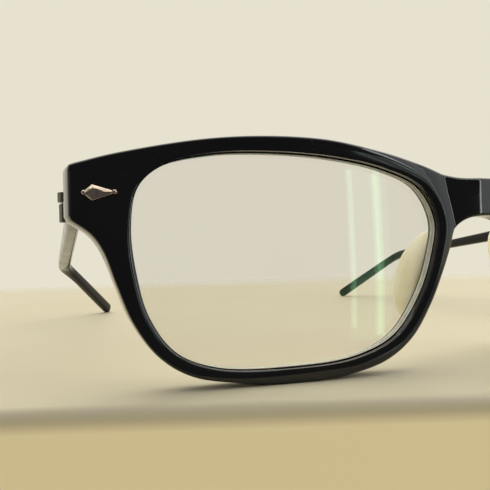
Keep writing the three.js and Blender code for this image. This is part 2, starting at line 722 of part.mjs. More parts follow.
// Each side piece: its name, what makes it and its material.
const SIDE_PIECES = [
  ["lens", lens(), MATERIALS.lens],
  ["nose_pad", nosePad(), MATERIALS.pad],
  ["rivet_plaque", rivetPlaque(), MATERIALS.chrome],
  ["front_hinge_leaf", frontLeaf(), MATERIALS.gunmetal],
  ["hinge_washer", washer(), MATERIALS.steel],
  ["hinge_screw", hingeScrew(), MATERIALS.steel],
  ["temple_hinge_leaf", templeLeaf(), MATERIALS.gunmetal],
  ["temple", temple(), MATERIALS.acetate],
  ["core_wire", coreWire(), MATERIALS.steel],
  ["temple_rivet_front", templeRivetBody(rivetPlaces[0], 0), MATERIALS.steel],
  ["temple_rivet_rear", templeRivetBody(rivetPlaces[1], 0), MATERIALS.steel],
];

function named(name, geometry, finish) {
  const mesh = new THREE.Mesh(geometry, finish);
  mesh.name = name;
  return mesh;
}

const group = new THREE.Group();
group.add(named("front_frame", frontFrame(), MATERIALS.acetate));
for (const [side, sign] of [
  ["left", 1],
  ["right", -1],
]) {
  const half = new THREE.Group();
  half.scale.x = sign;
  for (const [name, geometry, finish] of SIDE_PIECES) half.add(named(`${side}_${name}`, geometry, finish));
  group.add(half);
}

// The origin is the middle of the footprint, on the table.
const extent = new THREE.Box3().setFromObject(group);
group.position.y = -(extent.min.y + extent.max.y) / 2;

export default group;
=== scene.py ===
# Black acetate spectacles standing open on a pale table. Blender 4.5, metres, +Z up, front towards -Y.
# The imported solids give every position; each visible piece is drawn again here with its fine shape and finish.
import math

import bmesh
import bpy
import numpy as np
from mathutils import Matrix, Vector
from mathutils.geometry import delaunay_2d_cdt


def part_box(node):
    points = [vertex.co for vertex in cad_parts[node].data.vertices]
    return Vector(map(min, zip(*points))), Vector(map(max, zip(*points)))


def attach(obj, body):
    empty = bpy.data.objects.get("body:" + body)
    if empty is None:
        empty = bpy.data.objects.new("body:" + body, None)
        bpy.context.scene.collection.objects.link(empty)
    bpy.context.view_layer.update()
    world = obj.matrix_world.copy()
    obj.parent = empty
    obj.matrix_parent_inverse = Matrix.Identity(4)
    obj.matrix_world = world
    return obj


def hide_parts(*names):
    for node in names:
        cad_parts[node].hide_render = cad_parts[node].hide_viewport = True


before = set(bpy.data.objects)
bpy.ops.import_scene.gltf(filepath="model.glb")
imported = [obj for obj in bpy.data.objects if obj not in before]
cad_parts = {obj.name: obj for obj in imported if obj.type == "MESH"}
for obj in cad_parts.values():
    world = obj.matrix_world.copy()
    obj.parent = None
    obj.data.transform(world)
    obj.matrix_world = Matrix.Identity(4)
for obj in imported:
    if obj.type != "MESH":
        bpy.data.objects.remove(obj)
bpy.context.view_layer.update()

# ---- Front --------------------------------------------------------------------------------------------
# One sheet of black cellulose acetate, cut out, bent warm over a former, and tumbled to a high polish.
# Its face has a bevel round each lens, a ridge outside that, and a facet that falls away beside the nose.

mm = 0.001
opening_gap, opening_width, opening_height = 21.2, 51.1, 34.3
rim_top, rim_bottom, rim_nasal, rim_outer = 2.5, 2.3, 3.1, 3.4
front_thickness = 4.4
bend_radius, dish_radius = 238, 420
endpiece_reach, endpiece_flare, endpiece_corner = 8.7, 0.6, 1.1
bridge_drop, bridge_height = 3.8, 6.7
endpiece_drop, endpiece_height = 1.6, 9
edge_roundness = 0.5
groove_middle, groove_half_width, groove_depth = 2.5, 0.5, 0.72

front_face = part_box("front_frame")[0].y / mm


def opening_x(share):
    return opening_gap / 2 + share * opening_width


def opening_z(share):
    return rim_bottom + share * opening_height


side_x = opening_x(1) + endpiece_reach
bridge_top = opening_z(1) - bridge_drop
bridge_bottom = bridge_top - bridge_height
endpiece_top = opening_z(1) - endpiece_drop
endpiece_bottom = endpiece_top - endpiece_height


def bend(x, z):
    """Depth of the bent sheet's face behind the middle of the bridge."""
    return x**2 / (2 * bend_radius) + (z - opening_z(0.5)) ** 2 / (2 * dish_radius)


def curve_through(points, count, closed=False):
    """Evenly spaced points along a centripetal curve through the given ones."""
    p = np.array(points, float)
    if closed:
        q = np.vstack([p[-1], p, p[0], p[1]])
    else:
        q = np.vstack([2 * p[0] - p[1], p, 2 * p[-1] - p[-2]])
    s = np.linspace(0, 1, 60, endpoint=False)[:, None]
    pieces = []
    for a, b, c, d in zip(q, q[1:], q[2:], q[3:]):
        u, v, w = (max(np.linalg.norm(k), 1e-9) ** 0.5 for k in (b - a, c - b, d - c))
        leave = ((b - a) / u - (c - a) / (u + v) + (c - b) / v) * v
        arrive = ((c - b) / v - (d - b) / (v + w) + (d - c) / w) * v
        pieces.append(
            b + leave * s + (3 * (c - b) - 2 * leave - arrive) * s**2 + (2 * (b - c) + leave + arrive) * s**3
        )
    dense = np.vstack(pieces + [q[len(pieces) + 1][None]])
    run = np.concatenate([[0], np.cumsum(np.linalg.norm(np.diff(dense, axis=0), axis=1))])
    at = np.linspace(0, run[-1], count, endpoint=not closed)
    return np.column_stack([np.interp(at, run, dense[:, k]) for k in range(dense.shape[1])])


def normals_of(loop):
    """Normals to the right of a closed loop's own direction."""
    along = np.roll(loop, -1, 0) - np.roll(loop, 1, 0)
    along /= np.linalg.norm(along, axis=1)[:, None]
    return np.column_stack([along[:, 1], -along[:, 0]])


opening_shares = [
    (1, 0.66), (0.977, 0.845), (0.908, 0.94), (0.765, 0.99), (0.6, 1), (0.375, 0.978),
    (0.195, 0.925), (0.06, 0.835), (0, 0.67), (0.02, 0.49), (0.073, 0.3), (0.172, 0.113),
    (0.315, 0.025), (0.53, 0), (0.76, 0.02), (0.88, 0.1), (0.955, 0.265), (0.987, 0.45),
]
opening_loop = curve_through([(opening_x(u), opening_z(v)) for u, v in opening_shares], 260, closed=True)
opening_out = normals_of(opening_loop)

top = opening_z(1) + rim_top
crown = [
    (0, bridge_top), (opening_x(0) * 0.55, bridge_top + 0.15), (opening_x(0.05), bridge_top + 2.1),
    (opening_x(0.2), top - 2.2), (opening_x(0.38), top - 0.5), (opening_x(0.57), top),
    (opening_x(0.78), top - 0.55), (side_x - endpiece_reach * 0.75, top - 2.75),
    (side_x - endpiece_corner, endpiece_top),
]
corner = [
    (side_x - 0.25 * endpiece_corner, endpiece_top - 0.3 * endpiece_corner),
    (side_x, endpiece_top - endpiece_corner),
]
side_face = [
    (side_x, endpiece_bottom + endpiece_corner),
    (side_x - 0.3 * endpiece_corner, endpiece_bottom + 0.3 * endpiece_corner),
]
cheek = [
    (side_x - 3.1, endpiece_bottom - 1.9), (opening_x(1) + rim_outer + 0.6, opening_z(0.56)),
    (opening_x(1) + rim_outer - 1.15, opening_z(0.41)), (opening_x(1) + rim_outer - 3.5, opening_z(0.235)),
    (opening_x(0.9) + rim_outer - 2, opening_z(0.085)), (opening_x(0.81) + 1.2, 2.1),
    (opening_x(0.67), 0.5), (opening_x(0.51) + 3, 0),
]
nose_side = [
    (opening_x(0.51) - 3, 0), (opening_x(0.33), 0.65), (opening_x(0.21), 2.3),
    (opening_x(0.115), opening_z(0.1)), (opening_x(0.05) - 0.3, opening_z(0.25)),
    (opening_x(0) - 0.35, opening_z(0.4)), (opening_x(0) - rim_nasal + 0.8, opening_z(0.525)),
    (7, bridge_bottom - 2.5), (5.5, bridge_bottom - 1.15), (3.2, bridge_bottom - 0.3), (0, bridge_bottom),
]
outer_half = np.vstack([
    curve_through(crown, 150),
    curve_through([crown[-1], *corner], 10)[1:],
    curve_through(side_face, 12),
    curve_through([side_face[-1], *cheek], 120)[1:],
    curve_through(nose_side, 130),
])
outer_loop = np.vstack([outer_half, (outer_half * (-1, 1))[-2:0:-1]])
outer_in = normals_of(outer_loop)


def nearest_on_opening(x, z):
    """Distance to the nearer lens opening and the index of the nearest point on it."""
    away = np.hypot(np.abs(x)[:, None] - opening_loop[None, :, 0], z[:, None] - opening_loop[None, :, 1])
    at = away.argmin(1)
    return away[np.arange(len(x)), at], at


# Round the opening: width of the bevel, its depth, and how steeply the face falls away outside the ridge.
# Each is given at the top, the temple side, the bottom and the nose side, by the direction from the middle.
toward = opening_loop - (opening_x(0.5), opening_z(0.5))
turn = np.degrees(np.arctan2(toward[:, 1], -toward[:, 0]))
bevel_width = np.interp(
    turn,
    [-180, -120, -75, -40, -10, 20, 40, 75, 120, 180],
    [0.8, 0.7, 0.8, 1.3, 1.1, 1.25, 1.5, 1.3, 0.9, 0.8],
)
bevel_depth = np.interp(
    turn,
    [-180, -120, -80, -30, 20, 50, 85, 140, 180],
    [0.42, 0.3, 0.12, 0.3, 0.32, 0.2, 0.08, 0.15, 0.42],
)
facet_slope = np.interp(turn, [-70, -45, -15, 30, 50, 74], [0, 0.24, 0.31, 0.31, 0.3, 0])


def facet(x, z):
    """How far the worked face lies behind the plain sheet, before the bridge is shaped."""
    away, at = nearest_on_opening(x, z)
    width = bevel_width[at]
    bevel = bevel_depth[at] * (width - away) / width
    outside = np.clip(away - width, 0, None)
    fall = facet_slope[at] * outside * (outside + 0.35) / (outside + 0.6)
    sharpness = 0.1
    return 0.5 * (bevel + fall + np.sqrt((bevel - fall) ** 2 + sharpness**2))


bridge_middle = 1.6


def crease_at(z):
    """Where the bridge meets the facets round the openings."""
    return np.interp(z, [23.6, 25.8, 29.9, 33.1], [6.9, 7.5, 8.3, 8.4])


def relief(x, z):
    """Depth of the worked face with the bridge, whose two flats rise from the creases to a narrow middle."""
    crease = crease_at(z)
    depth = facet(x, z)
    at_crease = facet(crease, z)
    rise = (np.abs(x) - bridge_middle) / (crease - bridge_middle)
    flat = at_crease * 0.5 * (rise + np.sqrt(rise**2 + 0.004))
    return np.where(np.abs(x) < crease, np.minimum(flat, at_crease), depth)


def distance_to(loop, points):
    """Distance from each point to a closed loop's nearest side."""
    a, along = loop, np.roll(loop, -1, 0) - loop
    best = np.full(len(points), np.inf)
    for start, step in zip(a, along):
        share = np.clip((points - start) @ step / (step @ step), 0, 1)
        best = np.minimum(best, np.hypot(*(points - start - share[:, None] * step).T))
    return best


def rounded(offset):
    """Depth of a quarter-round edge at a distance in from the edge."""
    left = np.clip(edge_roundness - offset, 0, edge_roundness)
    return edge_roundness - np.sqrt(edge_roundness**2 - left**2)


def place_on_front(x, depth, z):
    """A point of the flat sheet, flared at the endpieces and bent, in metres."""
    reach = np.clip(((np.abs(x) - opening_x(1)) / endpiece_reach - 0.2) / 0.8, 0, 1)
    x = x + np.sign(x) * endpiece_flare * reach**2 * (3 - 2 * reach) * depth / front_thickness
    return np.column_stack([x, front_face + bend(x, z) + depth, z]) * mm


def inside(loop, points):
    """Which points lie inside a closed loop."""
    x, z = points[:, 0][:, None], points[:, 1][:, None]
    a, b = loop, np.roll(loop, -1, 0)
    crosses = (a[:, 1] > z) != (b[:, 1] > z)
    with np.errstate(divide="ignore", invalid="ignore"):
        at = a[:, 0] + (z - a[:, 1]) * (b[:, 0] - a[:, 0]) / (b[:, 1] - a[:, 1])
    return (np.sum(crosses & (x < at), axis=1) % 2).astype(bool)


class Body:
    """Collects the points and faces of one mesh."""

    def __init__(self):
        self.points, self.faces, self.slots = [], [], []

    def add(self, points):
        start = len(self.points)
        self.points.extend(map(tuple, points))
        return np.arange(start, start + len(points))

    def band(self, a, b, closed=True, slot=0):
        """A strip of four-sided faces between two rows of points."""
        last = len(a) if closed else len(a) - 1
        for i in range(last):
            j = (i + 1) % len(a)
            self.faces.append((a[i], a[j], b[j], b[i]))
            self.slots.append(slot)

    def face(self, corners):
        self.faces.append(tuple(corners))
        self.slots.append(0)

    def finish(self, name, body, slot, *materials, sharp=38, nodes=()):
        """Makes the object, turns its faces outwards and hangs it on its body."""
        mesh = bpy.data.meshes.new(name)
        mesh.from_pydata(self.points, [], [tuple(map(int, f)) for f in self.faces])
        for material in materials:
            mesh.materials.append(material)
        mesh.polygons.foreach_set("material_index", self.slots)
        work = bmesh.new()
        work.from_mesh(mesh)
        bmesh.ops.remove_doubles(work, verts=work.verts, dist=1e-7)
        bmesh.ops.recalc_face_normals(work, faces=work.faces)
        work.to_mesh(mesh)
        work.free()
        mesh.polygons.foreach_set("use_smooth", [True] * len(mesh.polygons))
        mesh.set_sharp_from_angle(angle=math.radians(sharp))
        piece = bpy.data.objects.new(name, mesh)
        bpy.context.scene.collection.objects.link(piece)
        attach(piece, body)
        if nodes:
            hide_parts(*nodes)


near_edge_ring = 0.6  # rings closer to the outline than this follow it
no_area = 1e-6  # triangles smaller than this are left out


def sheet_face(body, rings, grid, depth_at):
    """Fills the face of the sheet between nested rings, with a grid of points in the open areas."""
    flat = np.vstack(rings + [grid])
    rows, edges, start = [], [], 0
    for ring in rings:
        row = np.arange(start, start + len(ring))
        rows.append(row)
        away = distance_to(outer_loop, ring)
        # A ring that runs just inside the outline crosses itself at a sharp corner; its edges stop there.
        level = np.median(away)
        sound = (away > level - 0.01) & inside(outer_loop, ring) | (level > near_edge_ring) | (level < 0.01)
        kept = sound & np.roll(sound, -1)
        edges += list(zip(row[kept].tolist(), np.roll(row, -1)[kept].tolist()))
        start += len(ring)
    plain = [Vector(p) for p in flat.tolist()]
    points, _, triangles, given, _, _ = delaunay_2d_cdt(plain, edges, [], 0, 1e-6, True)
    found = np.array([list(p) for p in points])
    where_now = np.zeros(len(flat), int)
    for now, before in enumerate(given):
        where_now[before] = now
    corners = np.array(triangles)
    middle = found[corners].mean(1)
    keep = inside(outer_loop, middle) & ~inside(opening_loop, np.abs(middle))
    one = found[corners[:, 1]] - found[corners[:, 0]]
    two = found[corners[:, 2]] - found[corners[:, 0]]
    keep &= np.abs(one[:, 0] * two[:, 1] - one[:, 1] * two[:, 0]) > no_area
    index = body.add(place_on_front(found[:, 0], depth_at(found), found[:, 1]))
    for f in corners[keep]:
        body.face(index[f])
    return [index[where_now[row]] for row in rows]


def mirrored_rings(offset):
    ring = opening_loop + opening_out * np.asarray(offset).reshape(-1, 1)
    return ring, ring * (-1, 1)


spacing, sheet_half_width, sheet_height = 1.1, 72, 40
gx, gz = np.meshgrid(
    np.arange(-sheet_half_width, sheet_half_width, spacing), np.arange(0, sheet_height, spacing)
)
gx = gx + (np.arange(gx.shape[0]) % 2)[:, None] * spacing / 2
grid = np.column_stack([gx.ravel(), gz.ravel()])
from_edge = distance_to(outer_loop, grid)
from_opening, nearest = nearest_on_opening(grid[:, 0], grid[:, 1])
open_area = inside(outer_loop, grid) & ~inside(opening_loop, np.abs(grid)) & (from_edge > 0.75)
beside_crease = np.abs(np.abs(grid[:, 0]) - crease_at(grid[:, 1])) < 0.5
beside_crease &= (grid[:, 1] > 22) & (grid[:, 1] < 35)
front_grid = grid[open_area & (from_opening > bevel_width[nearest] + 0.6) & ~beside_crease]
back_grid = grid[open_area & (from_opening > 0.9)]

# Close rows of points on both sides of the creases keep them crisp.
crease_z = np.arange(22.2, 35, 0.4)
crease_rows = (-0.3, -0.1, 0.1, 0.3)
beside_creases = [crease_at(crease_z) + k for k in crease_rows]
beside_creases += [np.full(len(crease_z), bridge_middle + k) for k in crease_rows]
creases = np.vstack([np.column_stack([x * sign, crease_z]) for x in beside_creases for sign in (1, -1)])
room = distance_to(outer_loop, creases) > 0.6
room &= inside(outer_loop, creases) & (nearest_on_opening(creases[:, 0], creases[:, 1])[0] > 2)
front_grid = np.vstack([front_grid, creases[room]])


def front_depth(p):
    """The worked face, with its outer edge rounded and a fine lip at each opening."""
    lip = 0.06 * np.clip(1 - distance_to(opening_loop, np.abs(p)) / 0.1, 0, 1)
    return relief(p[:, 0], p[:, 1]) + rounded(distance_to(outer_loop, p)) + lip


def back_depth(p):
    """The plain back, rounded at every edge."""
    edge = np.minimum(distance_to(outer_loop, p), distance_to(opening_loop, np.abs(p)))
    return front_thickness - rounded(edge)


front = Body()
edge_steps = [0, 0.03, 0.1, 0.22, 0.36, 0.5]
bevel_steps = [0, 0.1] + [bevel_width + k for k in (-0.3, -0.12, -0.04, 0.04, 0.12, 0.3)]
outer_rings = [outer_loop + outer_in * c for c in edge_steps]
bevel_rings = [ring for step in bevel_steps for ring in mirrored_rings(step)]
back_rings = [ring for step in edge_steps for ring in mirrored_rings(step)]
rows_front = sheet_face(front, outer_rings + bevel_rings, front_grid, front_depth)
rows_back = sheet_face(front, outer_rings + back_rings, back_grid, back_depth)

# The edge faces: plain round the outside, with the lens groove inside each opening.
front.band(rows_front[0], rows_back[0])
groove = [
    (0, groove_middle - groove_half_width), (groove_depth, groove_middle - 0.12),
    (groove_depth, groove_middle + 0.12), (0, groove_middle + groove_half_width),
]
for k in (0, 1):
    last = rows_front[len(edge_steps) + k]
    for offset, depth in groove:
        ring = mirrored_rings(offset)[k]
        row = front.add(place_on_front(ring[:, 0], np.full(len(ring), float(depth)), ring[:, 1]))
        front.band(last, row)
        last = row
    front.band(last, rows_back[len(edge_steps) + k])


def new_group(name, inputs, outputs):
    """An empty shader node group with named sockets, and its input and output nodes."""
    group = bpy.data.node_groups.new(name, "ShaderNodeTree")
    for label, kind, value in inputs:
        socket = group.interface.new_socket(name=label, in_out="INPUT", socket_type="NodeSocket" + kind)
        socket.default_value = value
    for label, kind in outputs:
        group.interface.new_socket(name=label, in_out="OUTPUT", socket_type="NodeSocket" + kind)
    return group, group.nodes.new("NodeGroupInput"), group.nodes.new("NodeGroupOutput")


# Hairline scratches and finger haze, as left on polished plastic by handling.
handling, handled_in, handled_out = new_group(
    "handling marks",
    [
        ("Haze Scale", "Float", 90.0), ("Polished", "Float", 0.05),
        ("Hazed", "Float", 0.16), ("Scratches", "Float", 0.3),
    ],
    [("Roughness", "Float"), ("Height", "Float")],
)
n, link = handling.nodes, handling.links.new
where = n.new("ShaderNodeTexCoord")
haze = n.new("ShaderNodeTexNoise")
haze.inputs["Detail"].default_value = 5
haze.inputs["Roughness"].default_value = 0.6
link(where.outputs["Object"], haze.inputs["Vector"])
link(handled_in.outputs["Haze Scale"], haze.inputs["Scale"])
haze_range = n.new("ShaderNodeMapRange")
haze_range.inputs["From Min"].default_value = 0.42
haze_range.inputs["From Max"].default_value = 0.72
link(haze.outputs["Fac"], haze_range.inputs["Value"])
link(handled_in.outputs["Polished"], haze_range.inputs["To Min"])
link(handled_in.outputs["Hazed"], haze_range.inputs["To Max"])
link(haze_range.outputs["Result"], handled_out.inputs["Roughness"])
stretch = n.new("ShaderNodeMapping")
stretch.inputs["Rotation"].default_value = (0.3, 0.9, 0.5)
stretch.inputs["Scale"].default_value = (260, 4200, 900)
link(where.outputs["Object"], stretch.inputs["Vector"])
scratch = n.new("ShaderNodeTexNoise")
scratch.inputs["Scale"].default_value = 1
scratch.inputs["Detail"].default_value = 3
link(stretch.outputs["Vector"], scratch.inputs["Vector"])
scratch_line = n.new("ShaderNodeMapRange")
scratch_line.inputs["From Min"].default_value = 0.66
scratch_line.inputs["From Max"].default_value = 0.74
link(scratch.outputs["Fac"], scratch_line.inputs["Value"])
scratch_depth = n.new("ShaderNodeMath")
scratch_depth.operation = "MULTIPLY"
link(scratch_line.outputs["Result"], scratch_depth.inputs[0])
link(handled_in.outputs["Scratches"], scratch_depth.inputs[1])
link(scratch_depth.outputs[0], handled_out.inputs["Height"])

# Fine dust that settles on the surface as pale specks.
dust, dust_in, dust_out = new_group(
    "settled dust",
    [("Surface", "Color", (0, 0, 0, 1)), ("Dust", "Color", (0.35, 0.33, 0.3, 1)), ("Amount", "Float", 0.2)],
    [("Color", "Color")],
)
n, link = dust.nodes, dust.links.new
where = n.new("ShaderNodeTexCoord")
specks = n.new("ShaderNodeTexVoronoi")
specks.inputs["Scale"].default_value = 1100
link(where.outputs["Object"], specks.inputs["Vector"])
speck = n.new("ShaderNodeMapRange")
speck.inputs["From Min"].default_value = 0.16
speck.inputs["From Max"].default_value = 0.07
link(specks.outputs["Distance"], speck.inputs["Value"])
patches = n.new("ShaderNodeTexNoise")
patches.inputs["Scale"].default_value = 160
link(where.outputs["Object"], patches.inputs["Vector"])
patch = n.new("ShaderNodeMapRange")
patch.inputs["From Min"].default_value = 0.5
patch.inputs["From Max"].default_value = 0.75
link(patches.outputs["Fac"], patch.inputs["Value"])
both = n.new("ShaderNodeMath")
both.operation = "MULTIPLY"
link(speck.outputs["Result"], both.inputs[0])
link(patch.outputs["Result"], both.inputs[1])
amount = n.new("ShaderNodeMath")
amount.operation = "MULTIPLY"
link(both.outputs[0], amount.inputs[0])
link(dust_in.outputs["Amount"], amount.inputs[1])
settle = n.new("ShaderNodeMix")
settle.data_type = "RGBA"
link(amount.outputs[0], settle.inputs[0])
link(dust_in.outputs["Surface"], settle.inputs[6])
link(dust_in.outputs["Dust"], settle.inputs[7])
link(settle.outputs[2], dust_out.inputs["Color"])


def place_group(material, group, **values):
    """Puts a group in a material with its own values."""
    node = material.node_tree.nodes.new("ShaderNodeGroup")
    node.node_tree = group
    for label, value in values.items():
        node.inputs[label.replace("_", " ")].default_value = value
    return node


def new_material(name, **values):
    """A material with one Principled shader, whose plain values are set on its own sockets."""
    material = bpy.data.materials.new(name)
    material.use_nodes = True
    shader = material.node_tree.nodes["Principled BSDF"]
    for label, value in values.items():
        shader.inputs[label.replace("_", " ")].default_value = value
    return material, shader, material.node_tree.links.new


def add_bump(material, shader, height, distance):
    bump = material.node_tree.nodes.new("ShaderNodeBump")
    bump.inputs["Distance"].default_value = distance
    bump.inputs["Strength"].default_value = 1
    material.node_tree.links.new(height, bump.inputs["Height"])
    material.node_tree.links.new(bump.outputs["Normal"], shader.inputs["Normal"])


def mottled(material, scale, low, high):
    """A colour that drifts between two shades through the piece."""
    n, link = material.node_tree.nodes, material.node_tree.links.new
    where = n.new("ShaderNodeTexCoord")
    noise = n.new("ShaderNodeTexNoise")
    noise.inputs["Scale"].default_value = scale
    noise.inputs["Detail"].default_value = 4
    link(where.outputs["Object"], noise.inputs["Vector"])
    shades = n.new("ShaderNodeValToRGB")
    shades.color_ramp.elements[0].position = 0.35
    shades.color_ramp.elements[1].position = 0.7
    shades.color_ramp.elements[0].color = (*low, 1)
    shades.color_ramp.elements[1].color = (*high, 1)
    link(noise.outputs["Fac"], shades.inputs["Fac"])
    return shades.outputs["Color"]


def black_acetate(name, polished, hazed, shine):
    """Glossy black, slightly mottled, with fine scratches and a little dust in it."""
    made, shader, link = new_material(
        name, IOR=1.49, Specular_IOR_Level=shine, Coat_Weight=0.15, Coat_Roughness=0.03
    )
    marks = place_group(made, handling, Haze_Scale=70, Polished=polished, Hazed=hazed, Scratches=0.25)
    dusty = place_group(made, dust, Dust=(0.3, 0.29, 0.27, 1), Amount=0.3)
    link(mottled(made, 45, (0.0035, 0.0035, 0.004), (0.008, 0.008, 0.0085)), dusty.inputs["Surface"])
    link(dusty.outputs["Color"], shader.inputs["Base Color"])
    link(marks.outputs["Roughness"], shader.inputs["Roughness"])
    add_bump(made, shader, marks.outputs["Height"], 0.000004)
    return made


acetate = black_acetate("black acetate", 0.045, 0.12, 0.5)
front.finish("front", "front", "black_acetate", acetate, sharp=50, nodes=["front_frame"])

# ---- Lenses -------------------------------------------------------------------------------------------
# Clear plastic lenses, curved like the front, with a coating that reflects green. The edge is ground to
# a blunt V that snaps into the groove of the rim, and is left frosted.

lens_thickness, lens_setback, lens_clearance = 2.0, 1.5, 0.12
lens_bevel_height, lens_bevel_half_width = 0.6, 0.4

lens_glass, shader, link = new_material(
    "coated lens", IOR=1.5, Transmission_Weight=1.0, Specular_IOR_Level=0.3, Specular_Tint=(0.5, 1.0, 0.6, 1)
)
smear = place_group(lens_glass, handling, Haze_Scale=55, Polished=0.0, Hazed=0.012, Scratches=0.0)
link(smear.outputs["Roughness"], shader.inputs["Roughness"])
link(mottled(lens_glass, 40, (0.865, 0.88, 0.855), (0.885, 0.895, 0.875)), shader.inputs["Base Color"])
n = lens_glass.node_tree.nodes
light_path = n.new("ShaderNodeLightPath")
let_through = n.new("ShaderNodeBsdfTransparent")
let_through.inputs["Color"].default_value = (0.9, 0.92, 0.88, 1)
lens_mix = n.new("ShaderNodeMixShader")
link(light_path.outputs["Is Shadow Ray"], lens_mix.inputs["Fac"])
link(shader.outputs["BSDF"], lens_mix.inputs[1])
link(let_through.outputs["BSDF"], lens_mix.inputs[2])
link(lens_mix.outputs["Shader"], n["Material Output"].inputs["Surface"])

ground_edge, shader, link = new_material(
    "ground lens edge", IOR=1.5, Subsurface_Weight=0.3, Subsurface_Scale=0.001
)
link(mottled(ground_edge, 900, (0.62, 0.62, 0.55), (0.78, 0.78, 0.7)), shader.inputs["Base Color"])
grit = place_group(ground_edge, handling, Haze_Scale=2400, Polished=0.35, Hazed=0.6, Scratches=1.0)
link(grit.outputs["Roughness"], shader.inputs["Roughness"])
add_bump(ground_edge, shader, grit.outputs["Height"], 0.00001)

lens_rings = (1, 0.97, 0.9, 0.8, 0.68, 0.55, 0.42, 0.3, 0.2, 0.1)
lens_chamfer = 0.06

for side, sign in (("left", 1), ("right", -1)):
    lens = Body()
    centre = np.array([opening_x(0.5), opening_z(0.5)])

    def lens_row(offset, depth, shrink=1.0):
        ring = centre + (opening_loop + opening_out * offset - centre) * shrink
        return lens.add(place_on_front(ring[:, 0] * sign, np.full(len(ring), float(depth)), ring[:, 1]))

    near, far = lens_setback, lens_setback + lens_thickness
    for depth in (near, far):
        rows = [lens_row(-lens_clearance - lens_chamfer, depth, share) for share in lens_rings]
        for a, b in zip(rows, rows[1:]):
            lens.band(a, b)
        pole = place_on_front(np.array([centre[0] * sign]), np.array([float(depth)]), centre[1:2])
        middle = lens.add(pole)[0]
        for i in range(len(rows[-1])):
            lens.face((rows[-1][i], rows[-1][(i + 1) % len(rows[-1])], middle))
        if depth == near:
            near_edge = rows[0]
        else:
            far_edge = rows[0]
    middle_depth = (near + far) / 2
    profile = [
        (-lens_clearance, near + lens_chamfer),
        (-lens_clearance, middle_depth - lens_bevel_half_width),
        (lens_bevel_height - lens_clearance, middle_depth - 0.08),
        (lens_bevel_height - lens_clearance, middle_depth + 0.08),
        (-lens_clearance, middle_depth + lens_bevel_half_width),
        (-lens_clearance, far - lens_chamfer),
    ]
    last = near_edge
    for offset, depth in profile:
        row = lens_row(offset, depth)
        lens.band(last, row, slot=1)
        last = row
    lens.band(last, far_edge, slot=1)
    lens.finish(
        f"{side}_lens_piece", "front", "coated_lens", lens_glass, ground_edge, sharp=25, nodes=[f"{side}_lens"]
    )

# ---- Nose pads ----------------------------------------------------------------------------------------
# Almond-shaped pads of clear cream acetate, cemented to the back of the rims beside the nose and
# polished to a soft, rounded surface.

pad_height, pad_thickness, pad_reach = 18, 3.2, 6.6
pad_splay, pad_lean = math.radians(14), math.radians(23)
pad_bond = 0.2
pad_inset, pad_share = 0.35, 0.4
pad_rows, pad_columns = 32, 64

pad_acetate, shader, link = new_material(
    "cream pad acetate", IOR=1.49, Subsurface_Weight=1.0, Subsurface_Scale=0.005,
    Subsurface_Radius=(1.0, 0.85, 0.55), Coat_Weight=0.3, Coat_Roughness=0.05,
)
link(mottled(pad_acetate, 260, (0.78, 0.72, 0.54), (0.88, 0.83, 0.68)), shader.inputs["Base Color"])
marks = place_group(pad_acetate, handling, Haze_Scale=180, Polished=0.12, Hazed=0.3, Scratches=0.5)
link(marks.outputs["Roughness"], shader.inputs["Roughness"])
add_bump(pad_acetate, shader, marks.outputs["Height"], 0.00001)

for side, sign in (("left", 1), ("right", -1)):
    pad = Body()
    x0, z0 = opening_x(0) + pad_inset, opening_z(pad_share)
    pad_middle = Vector((x0, bend(x0, z0) + front_thickness, z0))
    turn_to_rim = Matrix.Rotation(-pad_lean, 3, "Y") @ Matrix.Rotation(-pad_splay, 3, "Z")
    rows = []
    for i in range(1, pad_rows):
        tilt = math.pi * i / pad_rows
        row = []
        for j in range(pad_columns):
            around = 2 * math.pi * j / pad_columns
            p = Vector((
                pad_thickness / 2 * math.sin(tilt) * math.cos(around),
                pad_reach * math.sin(tilt) * math.sin(around),
                pad_height / 2 * math.cos(tilt),
            ))
            row.append(turn_to_rim @ p + pad_middle)
        rows.append(row)
    ends = [turn_to_rim @ Vector((0, 0, end * pad_height / 2)) + pad_middle for end in (1, -1)]

    def seat(p):
        """Holds a point at or behind the back of the rim."""
        back = bend(p.x, p.z) + front_thickness + pad_bond
        return (p.x * sign * mm, (front_face + max(p.y, back)) * mm, p.z * mm)

    rows = [pad.add([seat(p) for p in row]) for row in rows]
    for a, b in zip(rows, rows[1:]):
        pad.band(a, b)
    for end, row in zip(ends, (rows[0], rows[-1])):
        tip = pad.add([seat(end)])[0]
        for j in range(pad_columns):
            pad.face((row[j], row[(j + 1) % pad_columns], tip))
    pad.finish(f"{side}_pad_piece", "front", "clear_acetate", pad_acetate, sharp=60, nodes=[f"{side}_nose_pad"])

# ---- Rivet plaques ------------------------------------------------------------------------------------
# A diamond of polished, plated metal on each endpiece, cut with four slopes round a long flat, with a
# small round bead at each point. Its two shanks pass through the acetate and the hinge leaf behind it.

plaque_length, plaque_height = 5.2, 2.4
plaque_inset, plaque_drop, plaque_lift = 3.65, 4.65, 0.2
long_point, short_point, widest = 0.66, 0.34, 0.06
bead_radius, bead_seat = 0.42, 0.27
shank_radius, shank_length, shank_spread = 0.44, 4.5, 1.1
plaque_x, plaque_z = side_x - plaque_inset, endpiece_top - plaque_drop
plaque_seat = plaque_lift + (plaque_length * long_point) ** 2 / (2 * bend_radius)
plaque_turn = Matrix.Rotation(math.atan(plaque_x / bend_radius), 3, "Z")

chrome, shader, link = new_material("plated chrome", Metallic=1.0)
link(mottled(chrome, 1400, (0.5, 0.39, 0.31), (0.68, 0.58, 0.49)), shader.inputs["Base Color"])
marks = place_group(chrome, handling, Haze_Scale=700, Polished=0.06, Hazed=0.22, Scratches=0.8)
link(marks.outputs["Roughness"], shader.inputs["Roughness"])
add_bump(chrome, shader, marks.outputs["Height"], 0.000006)

